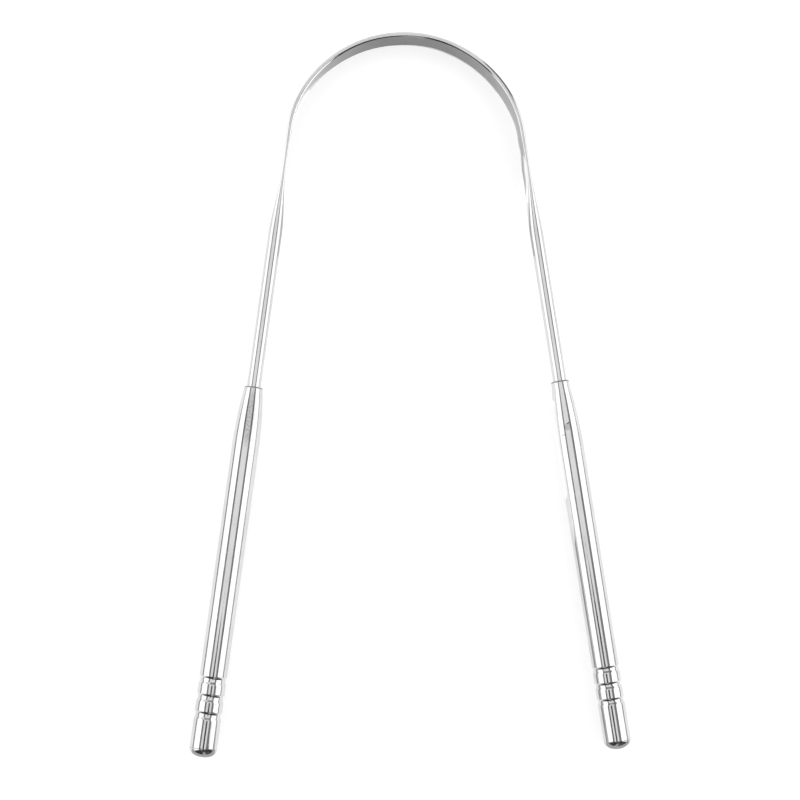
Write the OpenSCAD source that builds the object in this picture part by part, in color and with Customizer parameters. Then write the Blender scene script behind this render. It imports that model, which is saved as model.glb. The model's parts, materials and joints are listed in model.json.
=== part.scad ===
// Tongue scraper: a bow of flattened spring wire between two tube handles.
// It lies flat. +Y points to the crown of the bow, the handles point to -Y,
// and the origin is under the middle of its bounding box, on the surface it lies on.

/* [Bow] */
// Height of the flat band, along Z
band_h = 7; // [5:0.1:9]
// Thickness of the band round the arch
arch_t = 1.05; // [0.7:0.05:1.4]
// Thickness of the band where each arm is pressed thinnest
arm_t = 0.8; // [0.5:0.05:1.2]
// Radius of the crown arc, to the middle of the band
crown_r = 27; // [25:0.5:34]
// Angle from the middle of the crown to the start of each shoulder
crown_half_angle = 54; // [50:1:64]
// Radius of each shoulder arc, to the middle of the band
shoulder_r = 24.5; // [18:0.5:27]
// Angle that each arm leans away from the middle line
arm_lean = 8; // [0:0.5:14]
// Angle from the middle of the crown to the point about which each arm springs
flex_angle = 45; // [35:1:48]
// Length of each arm, from the end of its shoulder to the end of its handle tube
arm_len = 137.6; // [134:0.1:150]
// Length of each arm over which the band keeps its full height
full_h_len = 4; // [2:0.5:6]
// Length of each arm that is flat, before it grows thicker
flat_len = 9; // [7:0.5:12]
// Length of each arm that is pressed, flat stretch and taper together
pressed_len = 23.8; // [18:0.1:28]
// Diameter of the round wire
wire_d = 3.1; // [2.6:0.1:3.6]

/* [Handles] */
// Outer diameter of the handle tubes
tube_d = 6; // [5.4:0.1:8]
// Wall of the handle tubes
tube_wall = 0.5; // [0.3:0.05:0.7]
// Length of the left tube
left_tube_len = 79.4; // [74:0.1:86]
// Length of the right tube
right_tube_len = 80.7; // [74:0.1:86]
// Length of the neck that is drawn in towards the wire
neck_len = 13.5; // [10:0.1:18]
// Thickness of the lip where the wire enters
lip_t = 0.5; // [0.3:0.05:0.7]
// Length of the neck that grips the wire
grip_len = 2; // [1:0.5:5]
// Radius that rounds the rear edge of each tube
rim_r = 0.15; // [0.1:0.05:0.29]

/* [Rolled grooves] */
// Number of grooves on each handle
groove_count = 3; // [1:1:4]
// Width of each groove
groove_w = 1.25; // [0.8:0.05:1.6]
// Depth of each groove
groove_depth = 0.2; // [0.1:0.02:0.28]
// Spacing of the grooves on the left handle
left_groove_pitch = 3.8; // [3:0.1:5]
// Spacing of the grooves on the right handle
right_groove_pitch = 3.5; // [3:0.1:5]
// Distance from the left tube's end to the middle of its last groove
left_groove_setback = 7.3; // [5:0.1:12]
// Distance from the right tube's end to the middle of its last groove
right_groove_setback = 8.9; // [5:0.1:12]

/* [End plugs] */
// Height of the domed head
dome_h = 1.9; // [1.6:0.1:2.4]
// Radius of the dome's shoulder
dome_edge_r = 1.3; // [0.8:0.05:1.5]
// Step from the tube's outside in to the side of the head
head_step = 0.05; // [0.05:0.05:0.25]
// Length of the shank past the innermost groove
shank_lead = 3; // [2:0.5:5]
// Chamfer on the inner end of the shank
shank_chamfer = 0.4; // [0.2:0.1:0.8]

/* [Tang bushes] */
// Length of the bush that centres the wire's end in the tube
bush_len = 8; // [5:0.5:12]
// Length of wire that shows past the bush
tang_end = 1; // [0.5:0.5:3]

/* [Fits] */
// Radial clearance of pieces pressed into each other
press_gap = 0.01; // [0.005:0.005:0.02]
// Radial clearance where the arms spring against the crown
flex_gap = 0.03; // [0.02:0.01:0.06]

/* [Hidden] */

left = -1;
right = 1;
overrun = 1;
$fn = 96;
// Flats on the large arcs of the neck
neck_fn = 360;
// Rings along the knuckle, each arc and the pressed stretch, and points on each rounded edge
knuckle_rings = 5;
arc_rings = 7;
press_rings = 22;
edge_points = 14;

wire_r = wire_d / 2;
tube_r = tube_d / 2;
tube_bore_r = tube_r - tube_wall;
wire_bore_r = wire_r + press_gap;
mouth_r = wire_bore_r + lip_t;
shank_r = tube_bore_r - press_gap;
head_r = tube_r - head_step;

// Length of wire inside each tube
tang_len = neck_len + bush_len + tang_end;

// Radius of the dome's top, which runs into the dome's shoulder without a corner
dome_side = head_r - dome_edge_r;
dome_r = (dome_side ^ 2 + dome_h ^ 2 - dome_edge_r ^ 2) / (2 * (dome_h - dome_edge_r));
dome_join_x = dome_r * dome_side / (dome_r - dome_edge_r);

// Radius of the round that rolls a groove, and the distance of its middle from the axis
groove_r = (groove_w ^ 2 / 4 + groove_depth ^ 2) / (2 * groove_depth);
groove_axis_r = tube_r + groove_r - groove_depth;

// Outward direction of the bow at an angle from the middle of the crown, positive to the right
function outward(angle) = [sin(angle), cos(angle)];

// The bow's middle line as seen from the crown's centre: the shoulder's centre and its end
shoulder_angle = 90 - arm_lean;
shoulder_centre = (crown_r - shoulder_r) * outward(crown_half_angle);
shoulder_end = shoulder_centre + shoulder_r * outward(shoulder_angle);

// Where the crown's centre lies, so that the origin is mid-length
top_rise = crown_r + arch_t / 2;
dome_centre_s = arm_len + dome_h - dome_r;
bottom_rise = shoulder_end[1] - dome_centre_s * cos(arm_lean) - dome_r;
crown_centre = [0, -(top_rise + bottom_rise) / 2, band_h / 2];

function tube_len(side) = side == left ? left_tube_len : right_tube_len;
function groove_pitch(side) = side == left ? left_groove_pitch : right_groove_pitch;
function groove_setback(side) = side == left ? left_groove_setback : right_groove_setback;
function shank_len(side) =
    groove_setback(side) + (groove_count - 1) * groove_pitch(side) + groove_w / 2 + shank_lead;

// Distance from a tube's mouth to the middle of each of its grooves
function groove_places(side) = [
    for (i = [0:groove_count - 1])
        tube_len(side) - groove_setback(side) - i * groove_pitch(side)
];

// Radius of an arc that swells by a rise over a run and ends level
function swell_r(run, rise) = (run ^ 2 + rise ^ 2) / (2 * rise);

// A share from 0 to 1 that starts and ends level
function eased(u) = let (c = min(max(u, 0), 1)) c * c * (3 - 2 * c);
function blended(a, b, u) = a + (b - a) * eased(u);

// Thickness and height of the pressed wire at a distance from the shoulder
function pressed_t(s) = s < flat_len
    ? blended(arch_t, arm_t, s / full_h_len)
    : blended(arm_t, wire_d, (s - flat_len) / (pressed_len - flat_len));
function pressed_h(s) =
    blended(band_h, wire_d, (s - full_h_len) / (pressed_len - full_h_len));

// Places along the right arm, each as [point, angle from the crown, thickness, height]
function knuckle_places() = [
    for (i = [1:knuckle_rings])
        let (turn = 90 * i / (knuckle_rings + 1), t = arch_t * sin(turn))
        [
            crown_r * outward(flex_angle) - arch_t / 2 * cos(turn) * outward(flex_angle + 90),
            flex_angle,
            t,
            band_h - arch_t + t
        ]
];
function arc_places(centre, r, from, to) = [
    for (i = [0:arc_rings - 1])
        let (angle = from + (to - from) * i / arc_rings)
        [centre + r * outward(angle), angle, arch_t, band_h]
];
function arm_place(s, t, h) = [
    shoulder_end + s * outward(180 - arm_lean),
    shoulder_angle,
    t,
    h
];
function bow_places(wire_end) = concat(
    knuckle_places(),
    arc_places([0, 0], crown_r, flex_angle, crown_half_angle),
    arc_places(shoulder_centre, shoulder_r, crown_half_angle, shoulder_angle),
    [
        for (i = [0:press_rings])
            let (s = pressed_len * i / press_rings)
            arm_place(s, pressed_t(s), pressed_h(s))
    ],
    [arm_place(wire_end, wire_d, wire_d)]
);

// Ring round the band at one place, with rounded long edges
function band_ring(place) = [
    for (edge = [1, -1], i = [0:edge_points - 1])
        let (
            turn = 180 * (i + 0.5) / edge_points,
            out = edge * place[2] / 2 * cos(turn),
            up = edge * ((place[3] - place[2]) / 2 + place[2] / 2 * sin(turn))
        )
        [each (place[0] + out * outward(place[1])), up]
];

// Puts a shape drawn along +Z onto an arm, with its start at the end of the shoulder
module on_arm(side) {
    translate(crown_centre + [side * shoulder_end[0], shoulder_end[1], 0])
        rotate([0, 0, side * arm_lean])
            rotate([90, 0, 0])
                children();
}

// Puts a shape drawn along +Z onto an arm, with its start at the handle tube's mouth
module on_handle(side) {
    on_arm(side)
        translate([0, 0, arm_len - tube_len(side)])
            children();
}

// Section of the band: thickness along X, height along Y, long edges rounded
module band_section(t) {
    square([t, band_h - t], center = true);
    for (end = [-1, 1])
        translate([0, end * (band_h - t) / 2])
            circle(d = t);
}

// Puts a shape at the upright line about which one arm springs
module at_flex_line(side) {
    translate(crown_centre + crown_r * [each outward(side * flex_angle), 0])
        children();
}

module blade_crown() {
    color([0.80, 0.81, 0.82])
        difference() {
            translate(crown_centre)
                rotate([0, 0, 90 - flex_angle])
                    rotate_extrude(angle = 2 * flex_angle)
                        translate([crown_r, 0])
                            band_section(arch_t);
            for (side = [left, right])
                at_flex_line(side)
                    cylinder(r = arch_t / 2 + flex_gap, h = band_h + 2 * overrun, center = true);
        }
}

// The right arm: a knuckle in the hollow end of the crown, the shoulder, the taper and the wire
module right_sweep(wire_end) {
    rings = [for (place = bow_places(wire_end)) band_ring(place)];
    count = len(rings[0]);
    last = len(rings) - 1;
    polyhedron(
        points = [for (ring = rings) each ring],
        faces = concat(
            [[for (i = [0:count - 1]) i]],
            [
                for (r = [0:last - 1], i = [0:count - 1])
                    let (a = r * count + i, b = r * count + (i + 1) % count)
                    each [[a, a + count, b + count], [a, b + count, b]]
            ],
            [[for (i = [count - 1:-1:0]) last * count + i]]
        )
    );
}

module arm(side) {
    color([0.80, 0.81, 0.82])
        mirror([side == left ? 1 : 0, 0, 0])
            translate(crown_centre)
                right_sweep(arm_len - tube_len(side) + tang_len);
}

// Outline that swells from a small radius at its start to a large one at its end
module swelling(run, start_r, end_r) {
    rise = end_r - start_r;
    intersection() {
        square([end_r, run]);
        translate([end_r - swell_r(run, rise), run])
            circle(r = swell_r(run, rise), $fn = neck_fn);
    }
}

// Rounds that roll the grooves, grown by the given amount
module groove_rounds(side, grown) {
    for (s = groove_places(side))
        translate([groove_axis_r, s])
            circle(r = groove_r + grown);
}

module tube_outside(side) {
    swelling(neck_len, mouth_r, tube_r);
    translate([0, neck_len])
        square([tube_r, tube_len(side) - neck_len - rim_r]);
    translate([0, tube_len(side) - rim_r])
        square([tube_r - rim_r, rim_r]);
    translate([tube_r - rim_r, tube_len(side) - rim_r])
        circle(r = rim_r);
}

module tube_inside(side) {
    translate([0, -overrun])
        square([wire_bore_r, grip_len + overrun]);
    translate([0, grip_len])
        swelling(neck_len - grip_len, wire_bore_r, tube_bore_r);
    difference() {
        translate([0, neck_len])
            square([tube_bore_r, tube_len(side) - neck_len + overrun]);
        groove_rounds(side, tube_wall);
    }
}

module handle_tube(side) {
    color([0.84, 0.85, 0.86])
        on_handle(side)
            rotate_extrude()
                difference() {
                    tube_outside(side);
                    groove_rounds(side, 0);
                    tube_inside(side);
                }
}

module tang_bush(side) {
    color([0.72, 0.73, 0.74])
        on_handle(side)
            translate([0, 0, neck_len])
                difference() {
                    cylinder(r = shank_r, h = bush_len);
                    translate([0, 0, -overrun])
                        cylinder(r = wire_bore_r, h = bush_len + 2 * overrun);
                }
}

// Half outline of the domed head: a top arc that runs into the arc of the shoulder
module dome_outline() {
    intersection() {
        square([dome_join_x, dome_h]);
        translate([0, dome_h - dome_r])
            circle(r = dome_r);
    }
    intersection() {
        square([head_r, dome_h]);
        translate([dome_side, 0])
            circle(r = dome_edge_r);
    }
}

module end_plug(side) {
    start = tube_len(side) - shank_len(side);
    color([0.78, 0.79, 0.80])
        on_handle(side)
            rotate_extrude() {
                translate([0, tube_len(side)])
                    dome_outline();
                difference() {
                    polygon([
                        [0, start],
                        [shank_r - shank_chamfer, start],
                        [shank_r, start + shank_chamfer],
                        [shank_r, tube_len(side)],
                        [0, tube_len(side)]
                    ]);
                    groove_rounds(side, tube_wall + press_gap);
                }
            }
}

blade_crown();
arm(left);  // left_arm
arm(right);  // right_arm
handle_tube(left);  // left_handle_tube
handle_tube(right);  // right_handle_tube
tang_bush(left);  // left_tang_bush
tang_bush(right);  // right_tang_bush
end_plug(left);  // left_end_plug
end_plug(right);  // right_end_plug
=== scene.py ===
import json
import math

import bpy
import numpy as np
from mathutils import Matrix, Vector


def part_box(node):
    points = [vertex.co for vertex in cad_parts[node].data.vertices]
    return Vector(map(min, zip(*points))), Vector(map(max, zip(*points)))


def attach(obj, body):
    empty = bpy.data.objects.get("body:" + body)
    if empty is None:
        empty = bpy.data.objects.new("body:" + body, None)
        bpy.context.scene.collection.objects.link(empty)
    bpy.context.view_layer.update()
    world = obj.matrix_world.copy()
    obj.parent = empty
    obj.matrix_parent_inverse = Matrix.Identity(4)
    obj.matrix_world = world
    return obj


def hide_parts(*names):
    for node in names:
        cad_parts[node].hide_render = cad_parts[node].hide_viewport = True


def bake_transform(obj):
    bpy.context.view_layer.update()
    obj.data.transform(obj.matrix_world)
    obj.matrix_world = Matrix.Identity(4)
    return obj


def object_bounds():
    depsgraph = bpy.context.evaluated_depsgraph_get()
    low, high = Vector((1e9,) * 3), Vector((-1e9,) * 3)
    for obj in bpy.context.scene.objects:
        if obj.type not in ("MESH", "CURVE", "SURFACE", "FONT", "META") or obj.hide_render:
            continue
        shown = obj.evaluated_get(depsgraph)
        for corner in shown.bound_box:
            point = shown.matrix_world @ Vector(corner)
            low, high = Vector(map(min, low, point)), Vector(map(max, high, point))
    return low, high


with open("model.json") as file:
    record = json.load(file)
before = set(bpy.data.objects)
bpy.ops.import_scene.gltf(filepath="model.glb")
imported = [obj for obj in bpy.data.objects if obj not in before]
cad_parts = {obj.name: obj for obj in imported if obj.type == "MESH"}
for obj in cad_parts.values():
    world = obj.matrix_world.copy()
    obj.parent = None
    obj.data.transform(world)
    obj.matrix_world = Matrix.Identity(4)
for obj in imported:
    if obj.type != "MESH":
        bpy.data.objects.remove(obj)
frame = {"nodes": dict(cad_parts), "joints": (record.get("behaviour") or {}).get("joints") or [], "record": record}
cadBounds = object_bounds()
millimetre = 0.001


def linkObject(name, data):
    obj = bpy.data.objects.new(name, data)
    bpy.context.scene.collection.objects.link(obj)
    return obj


def newMesh(name, points, edges, faces):
    mesh = bpy.data.meshes.new(name)
    mesh.from_pydata(points, edges, faces)
    return mesh


# A turn whose Z axis points back, with its Y axis as near to up as it can be
def facing(back, up):
    back = Vector(back).normalized()
    right = Vector(up).cross(back).normalized()
    return Matrix((right, back.cross(right), back)).transposed()


# The camera, at the place that the photo's perspective gives
camera = {
    "place": (-0.03324, -0.04118, 0.38776),
    "lookAt": (-0.0019, -0.0028, 0.0035),
    "rollDegrees": -0.6,
    "lens": 78.2,
    "sensor": 36,
    "clipStart": 0.01,
    "clipEnd": 20,
}


def makeCamera():
    data = bpy.data.cameras.new("photoCamera")
    data.lens = camera["lens"]
    data.sensor_width = camera["sensor"]
    data.clip_start = camera["clipStart"]
    data.clip_end = camera["clipEnd"]
    obj = linkObject("photoCamera", data)
    turn = facing(Vector(camera["place"]) - Vector(camera["lookAt"]), (0, 1, 0))
    turn = turn @ Matrix.Rotation(math.radians(camera["rollDegrees"]), 3, "Z")
    obj.matrix_world = Matrix.Translation(camera["place"]) @ turn.to_4x4()
    bpy.context.scene.camera = obj


makeCamera()
print("camera set")


# Short helpers for building node trees

# Links an output to a socket, or sets a plain value on it
def feed(tree, socket, value):
    if isinstance(value, bpy.types.NodeSocket):
        tree.links.new(value, socket)
    else:
        socket.default_value = value


# Feeds several inputs of a node, by name or number, and leaves those that are None
def feedAll(tree, node, inputs):
    for name, value in inputs.items():
        if value is not None:
            feed(tree, node.inputs[name], value)


def addNode(tree, kind, inputs=None, **settings):
    node = tree.nodes.new(kind)
    for name, value in settings.items():
        setattr(node, name, value)
    feedAll(tree, node, inputs or {})
    return node


def sums(tree, operation, first, second=None):
    return addNode(tree, "ShaderNodeMath", {0: first, 1: second}, operation=operation).outputs[0]


def vectorSums(tree, operation, first, second=None, scale=None):
    node = addNode(tree, "ShaderNodeVectorMath", {0: first, 1: second, "Scale": scale}, operation=operation)
    return node.outputs["Value" if operation == "LENGTH" else "Vector"]


# Maps a value from one range to another, levelling off at both ends
def spread(tree, value, low, high, toLow, toHigh, smooth=True):
    node = addNode(tree, "ShaderNodeMapRange", interpolation_type="SMOOTHSTEP" if smooth else "LINEAR")
    for socket, number in zip(node.inputs, (value, low, high, toLow, toHigh)):
        feed(tree, socket, number)
    return node.outputs["Result"]


def newMaterial(name):
    material = bpy.data.materials.new(name)
    material.use_nodes = True
    return material, material.node_tree


def addInputs(tree, kinds):
    for name, kind in kinds.items():
        tree.interface.new_socket(name, in_out="INPUT", socket_type="NodeSocket" + kind)


# The bow's line, worked out from the frame: a crown arc, two shoulder arcs and two straight arms

bow = {
    "archThickness": 1.05 * millimetre,
    "armThickness": 0.8 * millimetre,
    "wireDiameter": 3.1 * millimetre,
    "edgeBulge": 0.48,            # how far the pressed edges bulge, as a share of half the thickness
    "edgePower": 1.7,             # 1 makes the edge an ellipse, 2 a shallow arc with crisp corners
    "sideFlat": 0.05 * millimetre,    # least flat left on the sides
    "sideBand": 0.1 * millimetre,     # narrow strip beside each corner that keeps the flats flat
    "sideBandShare": 0.4,         # most of a flat that the strip may take
    "supportSteps": 1.5,          # ring steps from the middle of a flat to its corner
    "crownHalfDegrees": 54,
    "fullHeightRun": 4 * millimetre,
    "flatRun": 9 * millimetre,
    "pressedRun": 23.8 * millimetre,
    "arcStepDegrees": 0.5,
    "armStep": 0.4 * millimetre,
    "wireStep": 2 * millimetre,
    "sectionPoints": 64,
    "bendEndRun": 12 * millimetre,
}
sides = {"left": -1, "right": 1}


def outward(degrees):
    return Vector((math.sin(math.radians(degrees)), math.cos(math.radians(degrees)), 0))


# Finds the bow's radii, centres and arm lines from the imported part
def readFrame():
    crownLow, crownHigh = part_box("blade_crown")
    joint = next(j for j in frame["joints"] if j["name"] == "right_flex")
    flex = Vector(joint["pos_m"])
    mount = next(m for m in frame["record"]["mounts"] if m["name"] == "right_barrel")
    along = Vector(mount["axis"]).normalized()
    across = Vector((-along.y, along.x, 0))
    lean = math.degrees(math.acos(-along.y))
    top = crownHigh.y - bow["archThickness"] / 2
    flexAngle = 2 * math.atan2(top - flex.y, flex.x)
    crownRadius = flex.x / math.sin(flexAngle)
    centre = Vector((0, top - crownRadius, flex.z))
    offset = Vector(mount["pos_m"]).dot(across) - centre.dot(across)
    closeness = outward(bow["crownHalfDegrees"]).dot(across)
    shoulderRadius = (offset - crownRadius * closeness) / (1 - closeness)
    shoulderCentre = centre + (crownRadius - shoulderRadius) * outward(bow["crownHalfDegrees"])
    return {
        "centre": centre,
        "crownRadius": crownRadius,
        "shoulderRadius": shoulderRadius,
        "shoulderCentre": shoulderCentre,
        "shoulderEnd": shoulderCentre + shoulderRadius * across,
        "along": along,
        "lean": lean,
        "bandHeight": crownHigh.z - crownLow.z,
        "tubeRadius": mount["dims"]["r_mm"] * millimetre,
    }


line = readFrame()
print("crown radius %.2f mm, shoulder radius %.2f mm, lean %.1f degrees" % (
    line["crownRadius"] / millimetre, line["shoulderRadius"] / millimetre, line["lean"]))


def mirrored(point, side):
    return Vector((side * point.x, point.y, point.z))


# Point on an arm's middle line, at a run from the end of its shoulder
def alongArm(side, run):
    return mirrored(line["shoulderEnd"] + run * line["along"], side)


def armDirection(side):
    return mirrored(line["along"], side)


# Run along an arm at which a CAD node starts or ends
def runOf(node, side, farEnd):
    runs = [(v.co - alongArm(side, 0)).dot(armDirection(side)) for v in frame["nodes"][node].data.vertices]
    return max(runs) if farEnd else min(runs)


def stepsBetween(start, end, step):
    count = max(1, math.ceil((end - start) / step))
    return [start + (end - start) * i / count for i in range(count)]


# Points of one half of the bow, from the middle of the crown to the wire's inner end
def bowLine(side, wireEnd):
    shoulderStart, shoulderStop = bow["crownHalfDegrees"], 90 - line["lean"]
    points = [
        line["centre"] + line["crownRadius"] * outward(angle)
        for angle in stepsBetween(0, shoulderStart, bow["arcStepDegrees"])
    ] + [
        line["shoulderCentre"] + line["shoulderRadius"] * outward(angle)
        for angle in stepsBetween(shoulderStart, shoulderStop, bow["arcStepDegrees"])
    ]
    points = [mirrored(p, side) for p in points]
    points += [alongArm(side, run) for run in stepsBetween(0, bow["pressedRun"], bow["armStep"])]
    points += [alongArm(side, run) for run in stepsBetween(bow["pressedRun"], wireEnd, bow["wireStep"])]
    return points + [alongArm(side, wireEnd)]


# Sweeps a wire that is pressed flat round the arch and grows round again along the arm
def makePressedWireTree():
    tree = bpy.data.node_groups.new("pressedWire", "GeometryNodeTree")
    addInputs(tree, {
        "line": "Geometry",
        "shoulderLength": "Float",
        "bandHeight": "Float",
        "archThickness": "Float",
        "armThickness": "Float",
        "wireDiameter": "Float",
        "edgeBulge": "Float",
        "edgePower": "Float",
        "sideFlat": "Float",
        "sideBand": "Float",
        "fullHeightRun": "Float",
        "flatRun": "Float",
        "pressedRun": "Float",
        "sectionPoints": "Int",
        "material": "Material",
    })
    tree.interface.new_socket("wire", in_out="OUTPUT", socket_type="NodeSocketGeometry")
    given = addNode(tree, "NodeGroupInput").outputs

    curve = addNode(tree, "GeometryNodeMeshToCurve", {"Mesh": given["line"]})
    length = addNode(tree, "GeometryNodeSplineParameter").outputs["Length"]
    run = sums(tree, "SUBTRACT", length, given["shoulderLength"])
    fullHeight, flatEnd, pressed = given["fullHeightRun"], given["flatRun"], given["pressedRun"]
    armThickness, wire = given["armThickness"], given["wireDiameter"]
    thinned = spread(tree, run, 0, fullHeight, given["archThickness"], armThickness)
    grown = spread(tree, run, flatEnd, pressed, armThickness, wire)
    thickness = sums(tree, "SUBTRACT", sums(tree, "ADD", thinned, grown), armThickness)
    captured = {
        "thickness": ("FLOAT", thickness),
        "height": ("FLOAT", spread(tree, run, fullHeight, pressed, given["bandHeight"], wire)),
        "length": ("FLOAT", length),
        "bulge": ("FLOAT", spread(tree, run, flatEnd, pressed, given["edgeBulge"], 1)),
        "power": ("FLOAT", spread(tree, run, flatEnd, pressed, given["edgePower"], 1)),
        "place": ("VECTOR", addNode(tree, "GeometryNodeInputPosition").outputs[0]),
        "tangent": ("VECTOR", addNode(tree, "GeometryNodeInputTangent").outputs[0]),
    }
    kept = addNode(tree, "GeometryNodeCaptureAttribute", {"Geometry": curve.outputs["Curve"]}, domain="POINT")
    for name, (kind, value) in captured.items():
        kept.capture_items.new(kind, name)
        feed(tree, kept.inputs[name], value)

    # A ring of points, turned by half a step so that the section splits evenly at the middle of the band
    points = given["sectionPoints"]
    ring = addNode(tree, "GeometryNodeCurvePrimitiveCircle", {
        "Resolution": points,
        "Radius": 1,
    }, mode="RADIUS")
    turn = addNode(tree, "ShaderNodeCombineXYZ", {"Z": sums(tree, "DIVIDE", math.pi, points)})
    turned = addNode(tree, "GeometryNodeTransform", {
        "Geometry": ring.outputs["Curve"],
        "Rotation": turn.outputs[0],
    })
    section = addNode(tree, "GeometryNodeCaptureAttribute", {
        "Geometry": turned.outputs["Geometry"],
    }, domain="POINT")
    section.capture_items.new("VECTOR", "section")
    feed(tree, section.inputs["section"], addNode(tree, "GeometryNodeInputPosition").outputs[0])
    swept = addNode(tree, "GeometryNodeCurveToMesh", {
        "Curve": kept.outputs["Geometry"],
        "Profile Curve": section.outputs["Geometry"],
        "Fill Caps": True,
    })

    parts = addNode(tree, "ShaderNodeSeparateXYZ", {"Vector": section.outputs["section"]})
    half = sums(tree, "MULTIPLY", kept.outputs["thickness"], 0.5)
    upHalf = sums(tree, "MULTIPLY", kept.outputs["height"], 0.5)
    wanted = sums(tree, "SUBTRACT", upHalf, sums(tree, "MULTIPLY", half, kept.outputs["bulge"]))
    flat = sums(tree, "MAXIMUM", wanted, given["sideFlat"])
    bulged = sums(tree, "SUBTRACT", upHalf, flat)

    # Ring angle from the flats: the first point on each side of a flat only supports it
    step = sums(tree, "DIVIDE", 2 * math.pi, points)
    angle = sums(tree, "ARCSINE", sums(tree, "ABSOLUTE", parts.outputs["Y"]))
    first = sums(tree, "MULTIPLY", step, bow["supportSteps"])
    past = sums(tree, "MAXIMUM", sums(tree, "SUBTRACT", angle, first), 0)
    stretch = sums(tree, "DIVIDE", math.pi / 2, sums(tree, "SUBTRACT", math.pi / 2, first))
    edgeAngle = sums(tree, "MULTIPLY", past, stretch)
    isSupport = sums(tree, "LESS_THAN", angle, step)
    mostBand = sums(tree, "MULTIPLY", flat, bow["sideBandShare"])
    band = sums(tree, "MINIMUM", given["sideBand"], mostBand)
    across = sums(tree, "MULTIPLY", sums(tree, "COSINE", edgeAngle), sums(tree, "SIGN", parts.outputs["X"]))
    rising = sums(tree, "POWER", sums(tree, "SINE", edgeAngle), kept.outputs["power"])
    rising = sums(tree, "ADD", flat, sums(tree, "MULTIPLY", bulged, rising))
    rising = sums(tree, "SUBTRACT", rising, sums(tree, "MULTIPLY", isSupport, band))
    upward = sums(tree, "MULTIPLY", rising, sums(tree, "SIGN", parts.outputs["Y"]))
    sideways = vectorSums(tree, "CROSS_PRODUCT", (0, 0, 1), kept.outputs["tangent"])
    offAxis = sums(tree, "MULTIPLY", half, across)
    sideways = vectorSums(tree, "SCALE", vectorSums(tree, "NORMALIZE", sideways), scale=offAxis)
    rise = addNode(tree, "ShaderNodeCombineXYZ", {"Z": upward})
    place = vectorSums(tree, "ADD", vectorSums(tree, "ADD", kept.outputs["place"], sideways), rise.outputs[0])
    shaped = addNode(tree, "GeometryNodeSetPosition", {"Geometry": swept.outputs["Mesh"], "Position": place})

    # The place on the wire as if it were straight, for finishes that follow it
    straight = addNode(tree, "ShaderNodeCombineXYZ", {"X": offAxis, "Y": kept.outputs["length"], "Z": upward})
    stored = addNode(tree, "GeometryNodeStoreNamedAttribute", {
        "Geometry": shaped.outputs["Geometry"],
        "Name": "straightPlace",
        "Value": straight.outputs[0],
    }, data_type="FLOAT_VECTOR", domain="POINT")
    smooth = addNode(tree, "GeometryNodeSetShadeSmooth", {"Geometry": stored.outputs["Geometry"]})
    real = addNode(tree, "GeometryNodeRealizeInstances", {"Geometry": smooth.outputs["Geometry"]})
    coated = addNode(tree, "GeometryNodeSetMaterial", {
        "Geometry": real.outputs["Geometry"],
        "Material": given["material"],
    })
    addNode(tree, "NodeGroupOutput", {"wire": coated.outputs["Geometry"]})
    return tree


# Sets a tree's named inputs on an object, and returns a new object that holds the plain result
def applyTree(obj, tree, values):
    modifier = obj.modifiers.new(tree.name, "NODES")
    modifier.node_group = tree
    for item in tree.interface.items_tree:
        if item.item_type == "SOCKET" and item.in_out == "INPUT" and item.name in values:
            modifier[item.identifier] = values[item.name]
    bpy.context.view_layer.update()
    evaluated = obj.evaluated_get(bpy.context.evaluated_depsgraph_get())
    mesh = bpy.data.meshes.new_from_object(evaluated)
    name = obj.name
    bpy.data.objects.remove(obj)
    return linkObject(name, mesh)


# The finish that all the steel shares: handling marks, worn edges, a drawn grain, and darker spots that are scuffs
# on the right neck and a painted reflection down the left neck
finish = {
    # the two sets of hair scratches: how each is turned, and how far it is drawn out in each direction
    "scratchTurns": ((0.2, 0.3, 0.5), (0.9, 0.1, -0.7)),
    "scratchStretches": ((1, 9, 1), (1, 1, 11)),
    "scratchScale": 420,
    "scratchDetail": 3,
    "scratchRoughness": 0.6,
    "scratchWidth": 0.012,
    "scratchDepth": 0.3,
    "hazeScale": 160,
    "hazeDetail": 4,
    "hazeRange": (0.35, 0.7),
    "hazeTone": 0.93,
    "wearWidth": 0.08,
    "wearTone": 1.08,
    "seamRange": (0.3 * millimetre, 0.8 * millimetre),      # where the wear starts, beside the bow's seam
    "grainScale": 9000,
    "grainDetail": 2,
    "grainStretch": 0.02,
    "bumpStrength": 0.3,
    "bumpDistance": 0.001 * millimetre,
    "spotScale": 3200,
    "spotDetail": 3,
    "spotEdge": (0.7, 1.1),
    "spotMottle": (0.35, 0.65),
    "spotHalfDepth": 2.5 * millimetre,
    "metalIndex": 2.5,
}


# A noise texture whose inputs may be sockets or plain values
def addNoise(tree, vector, scale, detail, roughness=None):
    inputs = {"Vector": vector, "Scale": scale, "Detail": detail, "Roughness": roughness}
    return addNode(tree, "ShaderNodeTexNoise", inputs, noise_dimensions="3D").outputs[0]


def makeGroup(name, inputs, outputs):
    group = bpy.data.node_groups.new(name, "ShaderNodeTree")
    addInputs(group, inputs)
    for label, kind in outputs.items():
        group.interface.new_socket(label, in_out="OUTPUT", socket_type="NodeSocket" + kind)
    return group, addNode(group, "NodeGroupInput").outputs, addNode(group, "NodeGroupOutput").inputs


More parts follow.
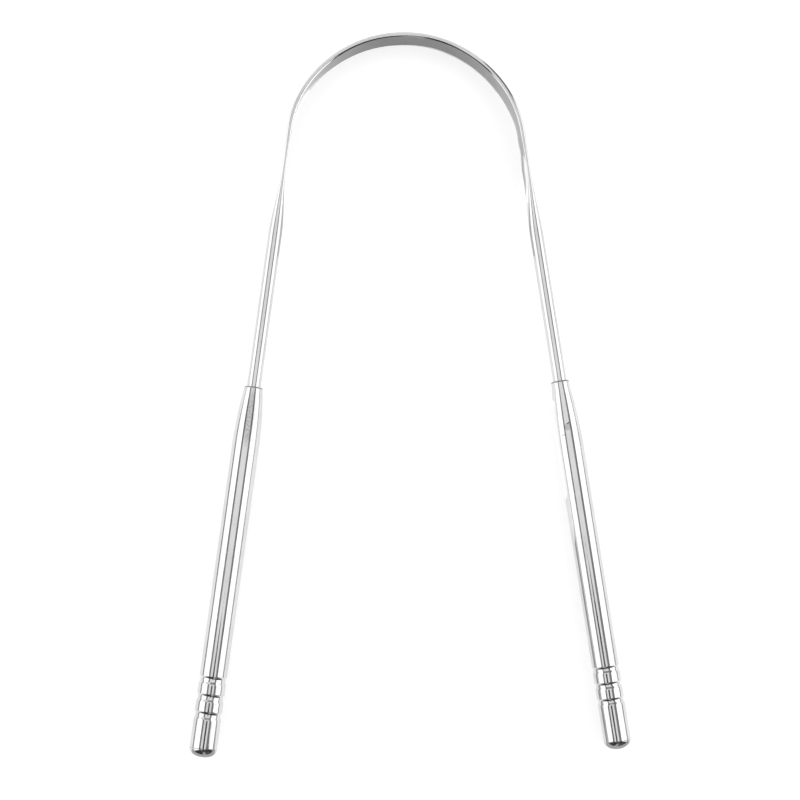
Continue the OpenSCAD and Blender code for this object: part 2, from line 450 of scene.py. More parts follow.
# Hair scratches and a faint haze from handling, as masks from 0 to 1
def makeHandlingMarks():
    group, given, out = makeGroup(
        "handlingMarks",
        {"Vector": "Vector", "Scratch Scale": "Float", "Haze Scale": "Float"},
        {"Scratches": "Float", "Haze": "Float"},
    )
    masks = []
    for turn, stretch in zip(finish["scratchTurns"], finish["scratchStretches"]):
        place = addNode(group, "ShaderNodeMapping", {
            "Vector": given["Vector"],
            "Rotation": turn,
            "Scale": [1 / s for s in stretch],
        }, vector_type="POINT")
        detail, roughness = finish["scratchDetail"], finish["scratchRoughness"]
        noise = addNoise(group, place.outputs[0], given["Scratch Scale"], detail, roughness)
        ridge = sums(group, "ABSOLUTE", sums(group, "SUBTRACT", noise, 0.5))
        masks.append(spread(group, ridge, 0, finish["scratchWidth"], 1, 0))
    haze = addNoise(group, given["Vector"], given["Haze Scale"], finish["hazeDetail"])
    feed(group, out["Scratches"], sums(group, "MAXIMUM", *masks))
    feed(group, out["Haze"], spread(group, haze, *finish["hazeRange"], 0, 1))
    return group


# Brighter worn metal where the surface turns outwards sharply
def makeEdgeWear():
    group, given, out = makeGroup("edgeWear", {"Width": "Float"}, {"Wear": "Float"})
    pointiness = addNode(group, "ShaderNodeNewGeometry").outputs["Pointiness"]
    full = sums(group, "ADD", 0.5, given["Width"])
    feed(group, out["Wear"], spread(group, pointiness, 0.5, full, 0, 1))
    return group


# One darker spot, used for scuffs and for a band of painted reflection: an uneven oval round a place, turned about
# the upright axis
def makeScuffAndReflectionSpot():
    group, given, out = makeGroup(
        "scuffAndReflectionSpot",
        {"Vector": "Vector", "Centre": "Vector", "Half Size": "Vector", "Turn": "Float", "Mottle": "Float"},
        {"Mask": "Float"},
    )
    away = vectorSums(group, "SUBTRACT", given["Vector"], given["Centre"])
    turned = addNode(group, "ShaderNodeVectorRotate", {
        "Vector": away,
        "Angle": given["Turn"],
    }, rotation_type="Z_AXIS")
    ragged = addNoise(group, given["Vector"], finish["spotScale"], finish["spotDetail"])
    reach = vectorSums(group, "LENGTH", vectorSums(group, "DIVIDE", turned.outputs[0], given["Half Size"]))
    reach = sums(group, "ADD", reach, sums(group, "SUBTRACT", ragged, 0.5))
    mask = spread(group, reach, *finish["spotEdge"], 1, 0)
    lightest = sums(group, "SUBTRACT", 1, given["Mottle"])
    mottle = spread(group, ragged, *finish["spotMottle"], lightest, 1)
    feed(group, out["Mask"], sums(group, "MULTIPLY", mask, mottle))
    return group


handlingMarks = makeHandlingMarks()
edgeWear = makeEdgeWear()
scuffAndReflectionSpot = makeScuffAndReflectionSpot()
print("shader groups made")

steel = {
    "bowSteel": {"tone": 0.70, "roughness": 0.08, "haze": 0.05, "scratch": 0.10, "grain": 0.25},
    "tubeSteel": {"tone": 0.71, "roughness": 0.07, "haze": 0.05, "scratch": 0.08, "grain": 0.12},
    "plugSteel": {"tone": 0.66, "roughness": 0.12, "haze": 0.06, "scratch": 0.10, "grain": 0.12},
    # the mouth's cut bevel: duller cut steel, darkened further as painted shade of the crevice round the wire
    "cutSteelAndPaintedShade": {"tone": 0.33, "roughness": 0.35, "haze": 0.10, "scratch": 0.10, "grain": 0.60},
    "bushSteel": {"tone": 0.60, "roughness": 0.28, "haze": 0.08, "scratch": 0.10, "grain": 0.40},
}


def grey(tone):
    return (tone, tone, tone, 1)


# Mixes a colour towards a plain grey where a mask is white
def toned(tree, colour, tone, mask):
    inputs = {"A": colour, "B": grey(tone), "Factor": mask}
    return addNode(tree, "ShaderNodeMix", inputs, data_type="RGBA").outputs["Result"]


# Middle of a spot on top of a tube, turned as the tube's steel reads its place
def spotPlace(spot, side):
    place = alongArm(side, spot["run"]) + Vector((spot["offset"], 0, line["tubeRadius"]))
    return Matrix.Rotation(-side * math.radians(line["lean"]), 3, "Z") @ place


# Where a finish reads its place: along the wire as if it were straight, or square to a handle
def placeSocket(tree, side, followsWire):
    if followsWire:
        return addNode(tree, "ShaderNodeAttribute", attribute_name="straightPlace").outputs["Vector"]
    return addNode(tree, "ShaderNodeMapping", {
        "Vector": addNode(tree, "ShaderNodeTexCoord").outputs["Object"],
        "Rotation": (0, 0, -side * math.radians(line["lean"])),
    }, vector_type="POINT").outputs[0]


# Mask of one darker spot on top of a tube; these are scuffs and the left neck's painted reflection
def spotMask(tree, place, spot, side):
    return addNode(tree, "ShaderNodeGroup", {
        "Vector": place,
        "Centre": spotPlace(spot, side),
        "Half Size": (spot["halfWidth"], spot["halfLength"], finish["spotHalfDepth"]),
        "Turn": math.radians(spot["turnDegrees"]),
        "Mottle": spot["mottle"],
    }, node_tree=scuffAndReflectionSpot).outputs["Mask"]


# Bumps of the grain drawn along the piece, cut by the scratches
def steelNormal(tree, place, scratches, grainHeight):
    drawn = addNode(tree, "ShaderNodeMapping", {
        "Vector": place,
        "Scale": (1, finish["grainStretch"], 1),
    }, vector_type="POINT")
    grain = addNoise(tree, drawn.outputs[0], finish["grainScale"], finish["grainDetail"])
    cuts = sums(tree, "MULTIPLY", scratches, finish["scratchDepth"])
    return addNode(tree, "ShaderNodeBump", {
        "Strength": finish["bumpStrength"],
        "Distance": finish["bumpDistance"],
        "Height": sums(tree, "SUBTRACT", sums(tree, "MULTIPLY", grain, grainHeight), cuts),
    }).outputs[0]


# Polished stainless steel with a drawn grain along the piece, hair scratches, haze, worn edges, and darker spots
# that are scuffs and a painted reflection
def makeSteel(name, side=1, followsWire=False, spots=()):
    look = steel[name]
    material, tree = newMaterial(name + ("" if followsWire else ("Left" if side < 0 else "Right")))
    place = placeSocket(tree, side, followsWire)
    marks = addNode(tree, "ShaderNodeGroup", {
        "Vector": place,
        "Scratch Scale": finish["scratchScale"],
        "Haze Scale": finish["hazeScale"],
    }, node_tree=handlingMarks)
    haze, scratches = marks.outputs["Haze"], marks.outputs["Scratches"]
    edges = addNode(tree, "ShaderNodeGroup", {"Width": finish["wearWidth"]}, node_tree=edgeWear)
    wear = edges.outputs["Wear"]
    if followsWire:        # no wear where the bow's halves meet
        run = addNode(tree, "ShaderNodeSeparateXYZ", {"Vector": place}).outputs["Y"]
        wear = sums(tree, "MULTIPLY", wear, spread(tree, run, *finish["seamRange"], 0, 1))

    tone = look["tone"]
    colour = toned(tree, grey(tone), tone * finish["hazeTone"], haze)
    colour = toned(tree, colour, min(1, tone * finish["wearTone"]), wear)
    # Darkens the steel in each spot: scuffs, and on the left neck a painted reflection
    for spot in spots:
        colour = toned(tree, colour, tone * (1 - spot["shade"]), spotMask(tree, place, spot, side))
    rough = sums(tree, "ADD", sums(tree, "MULTIPLY", haze, look["haze"]), look["roughness"])
    feedAll(tree, tree.nodes["Principled BSDF"], {
        "Metallic": 1,
        "IOR": finish["metalIndex"],
        "Base Color": colour,
        "Roughness": sums(tree, "ADD", sums(tree, "MULTIPLY", scratches, look["scratch"]), rough),
        "Normal": steelNormal(tree, place, scratches, look["grain"]),
    })
    return material


bowSteel = makeSteel("bowSteel", followsWire=True)
pressedWire = makePressedWireTree()


def polyline(name, points):
    edges = [(i, i + 1) for i in range(len(points) - 1)]
    return linkObject(name, newMesh(name, points, edges, []))


# Turns every face of a closed shell outwards, by the sign of its volume
def faceOutwards(mesh):
    mesh.calc_loop_triangles()
    co = np.array([v.co for v in mesh.vertices])
    tri = np.array([t.vertices for t in mesh.loop_triangles])
    volume = np.einsum("ij,ij->i", co[tri[:, 0]], np.cross(co[tri[:, 1]], co[tri[:, 2]])).sum() / 6
    if volume < 0:
        mesh.flip_normals()


# Smooth faces, with edges sharper than an angle left sharp
def setEdges(mesh, degrees=40):
    mesh.polygons.foreach_set("use_smooth", [True] * len(mesh.polygons))
    mesh.set_sharp_from_angle(angle=math.radians(degrees))


def makeBowHalf(name, side):
    wireEnd = runOf(name + "_arm", side, True)
    points = bowLine(side, wireEnd)
    arcs = line["crownRadius"] * math.radians(bow["crownHalfDegrees"])
    arcs += line["shoulderRadius"] * math.radians(90 - line["lean"] - bow["crownHalfDegrees"])
    obj = applyTree(polyline("bow_" + name, points), pressedWire, {
        **bow,
        "shoulderLength": arcs,
        "bandHeight": line["bandHeight"],
        "material": bowSteel,
    })
    faceOutwards(obj.data)
    setEdges(obj.data)
    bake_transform(obj)
    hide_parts(name + "_arm", "blade_crown")


for sideName, side in sides.items():
    makeBowHalf(sideName, side)
print("bow made")


# Turned pieces: an outline of (radius, run) points, turned about an arm's axis

# Each item with the next, and the last with the first where they close a ring
def neighbours(items, closed):
    return list(zip(items, items[1:])) + ([(items[-1], items[0])] if closed else [])


# Adds a point just inside each end of a long straight stretch, so that smooth shading stays true along it
def keepStraight(outline, closed, inset=0.12 * millimetre, least=0.48 * millimetre):
    points = []
    for a, b in neighbours(outline, closed):
        points.append(a)
        length = math.dist(a, b)
        if length > least and a[0] > 0 and b[0] > 0:
            for share in (inset / length, 1 - inset / length):
                points.append((a[0] + (b[0] - a[0]) * share, a[1] + (b[1] - a[1]) * share))
    return points if closed else points + [outline[-1]]


# Turns an outline about an arm's axis. A closed outline makes a ring, an open one meets the axis at both ends
def turnedPiece(name, outline, side, segments, material, closed):
    outline = keepStraight(outline, closed)
    axis = armDirection(side)
    across = Vector((0, 0, 1)).cross(axis).normalized()
    vertices, rings = [], []
    for radius, run in outline:
        middle = alongArm(side, run)
        if radius <= 0:
            rings.append([len(vertices)] * segments)
            vertices.append(middle)
            continue
        rings.append(list(range(len(vertices), len(vertices) + segments)))
        for k in range(segments):
            turn = 2 * math.pi * k / segments
            vertices.append(middle + radius * (math.cos(turn) * across + math.sin(turn) * Vector((0, 0, 1))))
    faces = []
    for a, b in neighbours(rings, closed):
        for k in range(segments):
            n = (k + 1) % segments
            corners = list(dict.fromkeys((a[k], a[n], b[n], b[k])))
            if len(corners) > 2:
                faces.append(corners)
    mesh = newMesh(name, vertices, [], faces)
    mesh.validate()
    faceOutwards(mesh)
    setEdges(mesh)
    mesh.materials.append(material)
    return linkObject(name, mesh)


# Points on an arc in (radius, run), by angles in degrees from the radius direction
def arc(centre, radius, start, end, count):
    angles = [math.radians(start + (end - start) * i / count) for i in range(count + 1)]
    return [(centre[0] + radius * math.cos(a), centre[1] + radius * math.sin(a)) for a in angles]


handle = {
    "wall": 0.5 * millimetre,
    "neck": {"left": 13.5 * millimetre, "right": 15.5 * millimetre},
    "collar": {"left": 0.36 * millimetre, "right": 1.6 * millimetre},      # run before the neck swells
    "lip": 0.5 * millimetre,
    "lipSlope": {"left": 0.36 * millimetre, "right": 0.42 * millimetre},    # bevel that leads into the mouth
    "lipStartDegrees": -60,       # where the bevel starts on its arc
    "lipGap": 0.1 * millimetre,       # flare of the bore where the wire goes in
    "lipDepth": 0.3 * millimetre,     # how far in the flare goes
    "grip": 2 * millimetre,
    "rimRound": 0.12 * millimetre,
    "fit": 0.01 * millimetre,
    "roundSteps": 8,
    "neckSteps": 48,
    "boreSteps": 20,
    "segments": 144,
}
# Darker spots on top of the necks: on the left a long mottled band down the neck's top that is painted reflection,
# on the right a patch, a nick and a speck from handling
spots = {
    "left": [
        # painted reflection: a grey band down the middle of the left neck's top
        {"run": 64.9 * millimetre, "offset": 0.1 * millimetre, "halfLength": 7 * millimetre,
         "halfWidth": 1.2 * millimetre, "turnDegrees": 0, "mottle": 0.55, "shade": 0.4},
    ],
    "right": [
        {"run": 67.55 * millimetre, "offset": -0.45 * millimetre, "halfLength": 0.95 * millimetre,
         "halfWidth": 0.85 * millimetre, "turnDegrees": 0, "mottle": 0.3, "shade": 0.36},
        {"run": 66.76 * millimetre, "offset": -0.18 * millimetre, "halfLength": 0.17 * millimetre,
         "halfWidth": 0.42 * millimetre, "turnDegrees": -40, "mottle": 0, "shade": 0.8},
        {"run": 69.45 * millimetre, "offset": -1.6 * millimetre, "halfLength": 0.13 * millimetre,
         "halfWidth": 0.34 * millimetre, "turnDegrees": 0, "mottle": 0, "shade": 0.5},
    ],
}

# Slope in degrees at runs past a groove's fore edge, in mm: crisp towards the arch, soft towards the rear
grooves = {
    "count": 3,
    "width": 1.25 * millimetre,
    "left": {
        "pitch": 3.8 * millimetre,
        "setback": 7.3 * millimetre,
        "slopes": (
            (-0.05, 0), (0.03, 48), (0.08, 42), (0.48, 8), (0.6, 0),
            (1.05, -3), (1.2, -20), (1.6, -20), (1.8, 0),
        ),
    },
    "right": {
        "pitch": 3.5 * millimetre,
        "setback": 8.9 * millimetre,
        "slopes": (
            (-0.05, 0), (0.03, 48), (0.08, 42), (0.46, 8), (0.56, 0),
            (0.8, -3), (0.95, -19.3), (1.32, -19.3), (1.5, 0),
        ),
    },
}


# Outside of one rolled groove, from its slopes
def groovePoints(middle, radius, slopes, step=0.02):
    start = middle - grooves["width"] / 2
    runs, angles = zip(*slopes)
    count = round((runs[-1] - runs[0]) / step)
    places = np.linspace(runs[0], runs[-1], count + 1)
    falls = np.tan(np.radians(np.interp(places, runs, angles)))
    depth = np.concatenate(([0], np.cumsum((falls[1:] + falls[:-1]) / 2 * (places[1] - places[0]))))
    depth -= depth[-1] * (places - places[0]) / (places[-1] - places[0])
    return [(float(radius - d * millimetre), float(start + x * millimetre)) for x, d in zip(places, depth)]


# Swells from a small radius to a large one along an arc that ends level
def neckPoints(run0, length, small, large, steps):
    rise = large - small
    radius = (length * length + rise * rise) / (2 * rise)
    runs = [length * i / steps for i in range(steps + 1)]
    return [(large - radius + math.sqrt(radius * radius - (length - run) ** 2), run0 + run) for run in runs]


def makeHandle(name, side):
    start = runOf(name + "_handle_tube", side, False)
    end = runOf(name + "_handle_tube", side, True)
    outer = line["tubeRadius"]
    bore = outer - handle["wall"]
    wireBore = bow["wireDiameter"] / 2 + handle["fit"]
    mouth = wireBore + handle["lip"]
    slope, gap, rim = handle["lipSlope"][name], handle["lipGap"], handle["rimRound"]
    neck, collar, grip = handle["neck"][name], handle["collar"][name], handle["grip"]
    middles = [
        end - grooves[name]["setback"] - i * grooves[name]["pitch"] for i in reversed(range(grooves["count"]))
    ]
    outline = [(wireBore, start + handle["lipDepth"]), (wireBore + gap, start)]
    outline += arc((mouth - slope, start + slope), slope, handle["lipStartDegrees"], 0, handle["roundSteps"])
    outline += neckPoints(start + collar, neck - collar, mouth, outer, handle["neckSteps"])[collar == slope:]
    for middle in middles:
        outline += groovePoints(middle, outer, grooves[name]["slopes"])
    outline += arc((outer - rim, end - rim), rim, 0, 90, handle["roundSteps"])
    outline += [(bore, end), (bore, start + neck)]
    outline += neckPoints(start + grip, neck - grip, wireBore, bore, handle["boreSteps"])[-2::-1]
    tube = turnedPiece("handle_tube_" + name, outline, side, handle["segments"], tubeSteel[name], True)
    # The bevel into the mouth takes the dark cut steel: a duller cut end with painted shade of the crevice
    tube.data.materials.append(cutSteelAndPaintedShade[name])
    for face in tube.data.polygons:
        if (face.center - alongArm(side, start + slope)).dot(armDirection(side)) < 0:
            face.material_index = 1
    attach(tube, name + "_side")
    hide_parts(name + "_handle_tube")


plug = {
    "shankFit": 0.01 * millimetre,
    "headStep": 0.03 * millimetre,
    "squareness": {"left": 2.4, "right": 2.0},      # 2 makes the dome half an ellipse
    "startDegrees": 3,            # slope of the head where it leaves the tube
    "flatter": {"left": 0, "right": 0.05 * millimetre},
    "chamfer": 0.4 * millimetre,
    "domeSteps": 44,
    "segments": 128,
}


# Outside of a dome from its seat to its tip: a squared ellipse that starts with a slight slope.
# The share is how far up the ellipse the seat lies, and it settles from a first guess over the rounds
def domePoints(radius, seat, tip, power, startDegrees, steps, share=0.1, rounds=40):
    slope = math.tan(math.radians(startDegrees))
    for _ in range(rounds):
        width = (1 - share ** power) ** (1 / power)
        height = (tip - seat) / (1 - share)
        share = width * (slope * height * width / radius) ** (1 / (power - 1))
    first = math.asin(share ** (power / 2))
    angles = [first + (math.pi / 2 - first) * i / steps for i in range(steps)]
    return [
        (radius / width * math.cos(a) ** (2 / power), tip - height + height * math.sin(a) ** (2 / power))
        for a in angles
    ] + [(0, tip)]


# A domed head on a plain shank
def makePlug(name, side):
    shankStart = runOf(name + "_end_plug", side, False)
    tip = runOf(name + "_end_plug", side, True)
    seat = runOf(name + "_handle_tube", side, True)
    shank = line["tubeRadius"] - handle["wall"] - plug["shankFit"]
    head = line["tubeRadius"] - plug["headStep"]
    cut, tip = plug["chamfer"], tip - plug["flatter"][name]
    outline = [(0, shankStart), (shank - cut, shankStart), (shank, shankStart + cut), (shank, seat)]
    outline += domePoints(head, seat, tip, plug["squareness"][name], plug["startDegrees"], plug["domeSteps"])
    obj = turnedPiece("end_plug_" + name, outline, side, plug["segments"], plugSteel[name], False)
    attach(obj, name + "_side")
    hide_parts(name + "_end_plug")


tubeSteel = {name: makeSteel("tubeSteel", side, spots=spots[name]) for name, side in sides.items()}
cutSteelAndPaintedShade = {name: makeSteel("cutSteelAndPaintedShade", side) for name, side in sides.items()}
plugSteel = {name: makeSteel("plugSteel", side) for name, side in sides.items()}
bushSteel = {name: makeSteel("bushSteel", side) for name, side in sides.items()}
for sideName, side in sides.items():
    makeHandle(sideName, side)
    makePlug(sideName, side)
    for slot in frame["nodes"][sideName + "_tang_bush"].material_slots:
        slot.material = bushSteel[sideName]
print("handles made")


# The studio: a pale floor in a small light tent. Its roof, back and soft boxes stand in a dark room

studio = {
    "floorReach": 1.2,
    "floorTone": 0.5,
    "floorFill": 0.57,
    "floorFade": (0.11, 0.2),     # ring round the part where the floor turns plain white
    "worldFill": 0.85,
    "roofHeight": 0.455,
    "roofLeft": -0.235,
    "roofRight": 0.138,
    "roofRightFront": 0.105,
    "roofFront": -0.207,
    "backPlace": 0.30,
    "backLeft": -0.43,
    "backRight": 0.175,
    "backSlit": 0.05,
    "whiteCard": 1.0,
    "leftBox": {"x": -0.43, "front": -0.245, "back": 0.30, "low": 0.02, "high": 0.505},
    "rightBox": {"x": 0.33, "front": -0.185, "back": 0.30, "low": 0.035, "high": 0.505},
    "boxRadiance": 1.5,
    "roofGap": 0.03,              # from the roof's rear edge to the back card
    "roomReach": 0.95,
    "roomRadiance": 0.05,
    "frontRightRadiance": 0.1,
    "ceilingRadiance": 0.25,
    "ceilingFront": -0.3,
    "frontWindow": 0.5,
    "frontWindowHalf": 0.12,
    "cardStep": 0.01,             # from a card to the one just in front of it
    "lensMiddle": -0.05,
    "lensHalf": 0.05,
    "lensStart": -0.061,
    "lensTaper": 0.03,
    "lensNarrowing": 3,           # how many times narrower its tapered end is
}


# A material that shines with a plain strength, or goes from one to another along the part's length, with a
# lift towards the left
def glowMaterial(name, strength, towards=None, start=0, stop=1, leftLift=0, liftStart=0):
    material, tree = newMaterial(name)
    tree.nodes.remove(tree.nodes["Principled BSDF"])
    if towards is not None:
        place = addNode(tree, "ShaderNodeTexCoord").outputs["Object"]
        parts = addNode(tree, "ShaderNodeSeparateXYZ", {"Vector": place}).outputs
        ramp = spread(tree, parts["Y"], start, stop, strength, towards)
        leftwards = sums(tree, "MAXIMUM", sums(tree, "SUBTRACT", liftStart, parts["X"]), 0)
        strength = sums(tree, "ADD", ramp, sums(tree, "MULTIPLY", leftwards, leftLift))
    glow = addNode(tree, "ShaderNodeEmission", {"Strength": strength})
    feed(tree, tree.nodes["Material Output"].inputs["Surface"], glow.outputs[0])
    return material


# A flat card that only shows in the steel
def makeCard(name, corners, material):
    mesh = newMesh(name, corners, [], [tuple(range(len(corners)))])
    mesh.materials.append(material)
    obj = linkObject(name, mesh)
    for kind in ("camera", "diffuse", "transmission", "shadow", "volume_scatter"):
        setattr(obj, "visible_" + kind, False)


def flatCard(name, left, right, front, back, height, material):
    corners = [(left, front, height), (right, front, height), (right, back, height), (left, back, height)]
    makeCard(name, corners, material)


# 1 for camera, glossy and transmission rays, which see the floor and the world brighter
def brightRays(tree):
    light = addNode(tree, "ShaderNodeLightPath").outputs
    seen = sums(tree, "MAXIMUM", light["Is Camera Ray"], light["Is Transmission Ray"])
    return sums(tree, "MAXIMUM", seen, light["Is Glossy Ray"])


def makeFloor():
    material, tree = newMaterial("paleFloor")
    shader = tree.nodes["Principled BSDF"]
    feedAll(tree, shader, {"Base Color": grey(studio["floorTone"]), "Roughness": 1, "Specular IOR Level": 0})
    seen = brightRays(tree)
    filling = sums(tree, "MULTIPLY", seen, studio["floorFill"])
    fill = addNode(tree, "ShaderNodeEmission", {"Strength": filling})
    lit = addNode(tree, "ShaderNodeAddShader", {0: shader.outputs[0], 1: fill.outputs[0]})
    white = addNode(tree, "ShaderNodeEmission")
    away = vectorSums(tree, "LENGTH", addNode(tree, "ShaderNodeTexCoord").outputs["Object"])
    far = sums(tree, "MULTIPLY", spread(tree, away, *studio["floorFade"], 0, 1), seen)
    mixed = addNode(tree, "ShaderNodeMixShader", {0: far, 1: lit.outputs[0], 2: white.outputs[0]})
    feed(tree, tree.nodes["Material Output"].inputs["Surface"], mixed.outputs[0])
    reach, low = studio["floorReach"], cadBounds[0].z
    corners = [(-reach, -reach, low), (reach, -reach, low), (reach, reach, low), (-reach, reach, low)]
    mesh = newMesh("floor", corners, [], [(0, 1, 2, 3)])
    mesh.materials.append(material)
    linkObject("floor", mesh)


# A soft rectangular lamp of a given brightness, seen in the steel and not by the camera
def makeSoftBox(name, place, toward, width, height, radiance):
    data = bpy.data.lights.new(name, "AREA")
    data.shape = "RECTANGLE"
    data.size = width
    data.size_y = height
    data.energy = radiance * math.pi * width * height
    obj = linkObject(name, data)
    obj.matrix_world = Matrix.Translation(place) @ facing(-Vector(toward), (0, 0, 1)).to_4x4()
    obj.visible_camera = False


# The tent: a white roof with a dark lens in it, a back card and a soft box on each side
def makeTent(dark):
    white = glowMaterial("whiteCard", studio["whiteCard"])
    roof, front = studio["roofHeight"], studio["roofFront"]
    rear = studio["backPlace"] - studio["roofGap"]
    makeCard("roof", [
        (studio["roofLeft"], front, roof), (studio["roofRightFront"], front, roof),
        (studio["roofRight"], 0, roof), (studio["roofRight"], rear, roof), (studio["roofLeft"], rear, roof),
    ], white)
    lens, half, start = studio["lensMiddle"], studio["lensHalf"], studio["lensStart"]
    tip = half / studio["lensNarrowing"]
    hood, taper = roof - studio["cardStep"], start - studio["lensTaper"]
    makeCard("lensHood", [
        (lens - half, front, hood), (lens + half, front, hood), (lens + half, taper, hood),
        (lens + tip, start, hood), (lens - tip, start, hood), (lens - half, taper, hood),
    ], dark)
    back, left, right = studio["backPlace"], studio["backLeft"], studio["backRight"]
    top = roof - studio["backSlit"]
    makeCard("backCard", [(left, back, 0), (right, back, 0), (right, back, top), (left, back, top)], white)
    for name, toward in (("leftBox", 1), ("rightBox", -1)):
        box = studio[name]
        place = (box["x"], (box["front"] + box["back"]) / 2, (box["low"] + box["high"]) / 2)
        width, height = box["back"] - box["front"], box["high"] - box["low"]
        makeSoftBox(name, place, (toward, 0, 0), width, height, studio["boxRadiance"])


# The room round the tent: dark, with a dim ceiling, a dim front on the right and a pale window in front
def makeRoom(dark):
    reach, split, half = studio["roomReach"], studio["ceilingFront"], studio["frontWindowHalf"]
    ceiling = glowMaterial("dimCeiling", studio["ceilingRadiance"])
    flatCard("roomCeiling", -reach, reach, split, reach, reach, ceiling)
    flatCard("roomCeilingFront", -reach, reach, -reach, split, reach, dark)
    dim = glowMaterial("dimRoom", studio["frontRightRadiance"])
    window = glowMaterial("paleWindow", studio["frontWindow"])
    near = studio["cardStep"] - reach
    for name, start, stop, material in (
        ("FrontLeft", (-reach, -reach), (0, -reach), dark),
        ("FrontRight", (0, -reach), (reach, -reach), dim),
        ("Back", (-reach, reach), (reach, reach), dark),
        ("Left", (-reach, -reach), (-reach, reach), dark),
        ("Right", (reach, -reach), (reach, reach), dark),
        ("Window", (-half, near), (half, near), window),
    ):
        makeCard("room" + name, [(*start, 0), (*stop, 0), (*stop, reach), (*start, reach)], material)


# Cards just over the floor, which the steel shows as grey and bright shapes. Runs are along an arm
flags = {
    "lift": 0.15 * millimetre,
    "frontStep": 1.5 * millimetre,        # from the domes' tips to the front edge of the grey
    "frontHalf": 0.3,
    "reach": 0.5,
    "startRun": 62 * millimetre,
    "endRun": 142 * millimetre,
    "radiance": 0.42,
    "frontRadiance": 0.55,
    # beside each handle: bare floor left next to it, and how much further back the far corner lies
    "left": {"gap": 0.024, "slant": 0.36},
    "right": {"gap": 0.06, "slant": 0},
    "innerGap": 0.011,
    "innerBackRun": 95 * millimetre,
    "glow": {
        "startRun": 61 * millimetre,
        "endRun": 84 * millimetre,
        "startGap": 0.003,
        "endGap": 0.0035,
        "reach": 0.018,
        "radiance": 1.4,
    },
}


def makeHandleFlags(low):
    greyFloor = glowMaterial("greyFlag", flags["radiance"])
    frontGrey = glowMaterial("frontGrey", flags["frontRadiance"])
    frontEdge = cadBounds[0].y - flags["frontStep"]
    half, reach = flags["frontHalf"], flags["reach"]
    flatCard("frontFlag", -half, half, -reach, frontEdge, low, frontGrey)
    top, end = alongArm(1, flags["startRun"]), alongArm(1, flags["endRun"])
    for name, side in sides.items():
        gap, slant = flags[name]["gap"], flags[name]["slant"]
        makeCard("outerFlag" + name.capitalize(), [
            (side * (end.x + gap), frontEdge, low), (side * reach, frontEdge, low),
            (side * reach, top.y + slant, low), (side * (top.x + gap), top.y, low),
        ], greyFloor)
    gap, innerBack = flags["innerGap"], alongArm(1, flags["innerBackRun"])
    makeCard("innerFlag", [
        (0, frontEdge, low), (end.x - gap, frontEdge, low),
        (innerBack.x - gap, innerBack.y, low), (0, innerBack.y, low),
    ], greyFloor)
    glow = flags["glow"]
    near, far = alongArm(1, glow["startRun"]), alongArm(1, glow["endRun"])
    makeCard("innerGlow", [
        (far.x - glow["reach"], far.y, low), (far.x - glow["endGap"], far.y, low),
        (near.x - glow["startGap"], near.y, low), (near.x - glow["reach"], near.y, low),
    ], glowMaterial("brightFloor", glow["radiance"]))


# Shade on the floor inside the arch and beside the right arm, over a bright foot
shades = {
    "archHalfDegrees": 80,
    "archStepDegrees": 4,
    "archFront": 0.03,
    # bare floor left between the band and the shade, in mm by degrees from the crown's middle
    "archGaps": (
        (-80, 1.1), (-64, 0.6), (-48, 0.32), (-34, -0.1), (-8, -0.15),
        (0, 0.08), (16, 0.32), (28, 0.28), (56, 0.18), (64, 0.26), (72, 0.55), (80, 0.68),
    ),
    "archGlow": {
        "strength": 0.60,
        "towards": 0.31,
        "start": 0.0624,
        "stop": 0.0804,
        "leftLift": 10,
        "liftStart": -0.005,
    },
    # strip beside the right arm: run along the arm, near edge and far edge, all in mm
    "armStrip": (
        (0, 0.52, 1.2), (4, 0.36, 0.95), (7.5, 0.05, 0.6), (11, -0.05, 0.5), (15, -0.1, 0.5), (18, 0, 0.3),
    ),
    "armRadiance": 0.56,
    "footStart": 2 * millimetre,
    "footEnd": 15 * millimetre,
    "footWidth": 3 * millimetre,
    "footDrop": 0.05 * millimetre,        # from the shades down to the bright foot
    "footRadiance": 1.22,
}


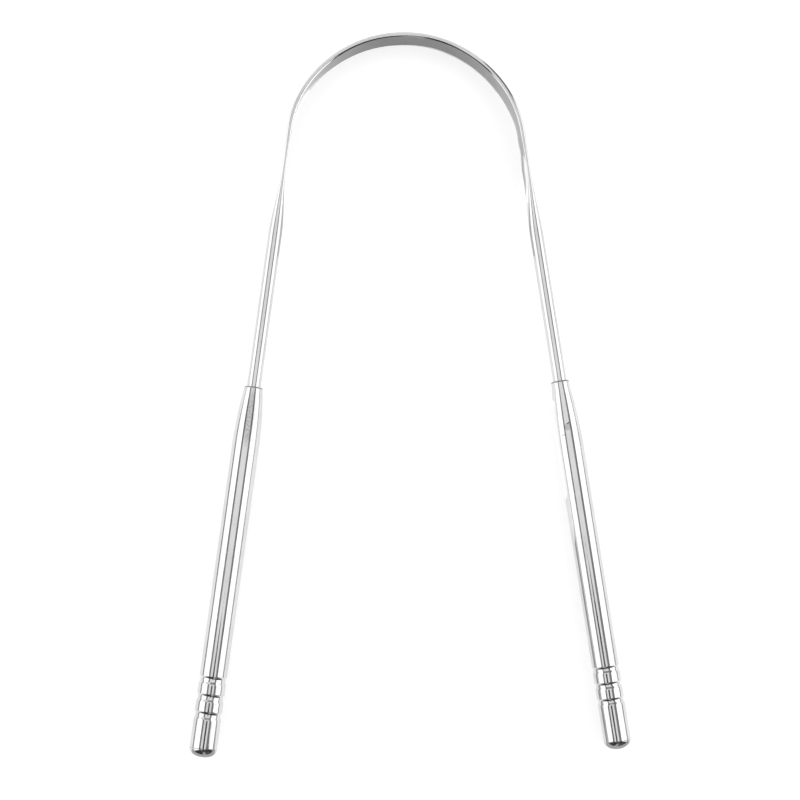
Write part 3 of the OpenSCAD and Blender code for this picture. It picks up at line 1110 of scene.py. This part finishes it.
def makeArchFlag(low):
    half, step = shades["archHalfDegrees"], shades["archStepDegrees"]
    inner = line["crownRadius"] - bow["archThickness"] / 2
    corners = []
    for angle in range(-half, half + 1, step):
        gap = float(np.interp(angle, *zip(*shades["archGaps"]))) * millimetre
        place = line["centre"] + (inner - gap) * outward(angle)
        corners.append((place.x, place.y, low))
    front = shades["archFront"]
    corners += [(corners[-1][0], front, low), (-corners[-1][0], front, low)]
    makeCard("archFlag", corners, glowMaterial("archShade", **shades["archGlow"]))


# Point on the inner side of the right arm, at a run along it and a distance from its middle line
def besideArm(run, away):
    return alongArm(1, run) + away * Vector((line["along"].y, -line["along"].x, 0))


def makeArmShade(low):
    face = bow["armThickness"] / 2
    near, far = [], []
    for run, start, stop in shades["armStrip"]:
        near.append(besideArm(run * millimetre, face + start * millimetre))
        far.append(besideArm(run * millimetre, face + stop * millimetre))
    corners = [(p.x, p.y, low) for p in near + far[::-1]]
    makeCard("armShade", corners, glowMaterial("armShade", shades["armRadiance"]))


def makeFootGlow(low):
    glow = glowMaterial("footGlow", shades["footRadiance"])
    crownHalf, shoulderStop = bow["crownHalfDegrees"], round(90 - line["lean"])
    start, end, width = shades["footStart"], shades["footEnd"], shades["footWidth"]
    inner, face = line["shoulderRadius"] - bow["archThickness"] / 2, bow["armThickness"] / 2
    corners = [
        line["shoulderCentre"] + inner * outward(angle)
        for angle in range(crownHalf, shoulderStop + 1, shades["archStepDegrees"])
    ]
    corners += [besideArm(start, face), besideArm(end, face), besideArm(end, width), besideArm(start, width)]
    corners.append(line["centre"] + (line["crownRadius"] - width) * outward(crownHalf))
    for side in sides.values():
        makeCard("footGlow", [(side * p.x, p.y, low) for p in corners], glow)


def makeWorld():
    world = bpy.data.worlds.new("whiteRoom")
    bpy.context.scene.world = world
    world.use_nodes = True
    tree = world.node_tree
    strength = spread(tree, brightRays(tree), 0, 1, studio["worldFill"], 1, smooth=False)
    feedAll(tree, tree.nodes["Background"], {"Color": grey(1), "Strength": strength})


darkRoom = glowMaterial("darkRoom", studio["roomRadiance"])
flagHeight = cadBounds[0].z + flags["lift"]
makeFloor()
makeTent(darkRoom)
makeRoom(darkRoom)
makeHandleFlags(flagHeight)
makeArchFlag(flagHeight)
makeArmShade(flagHeight)
makeFootGlow(flagHeight - shades["footDrop"])
makeWorld()
bpy.context.scene.view_settings.view_transform = "Standard"
print("studio made")
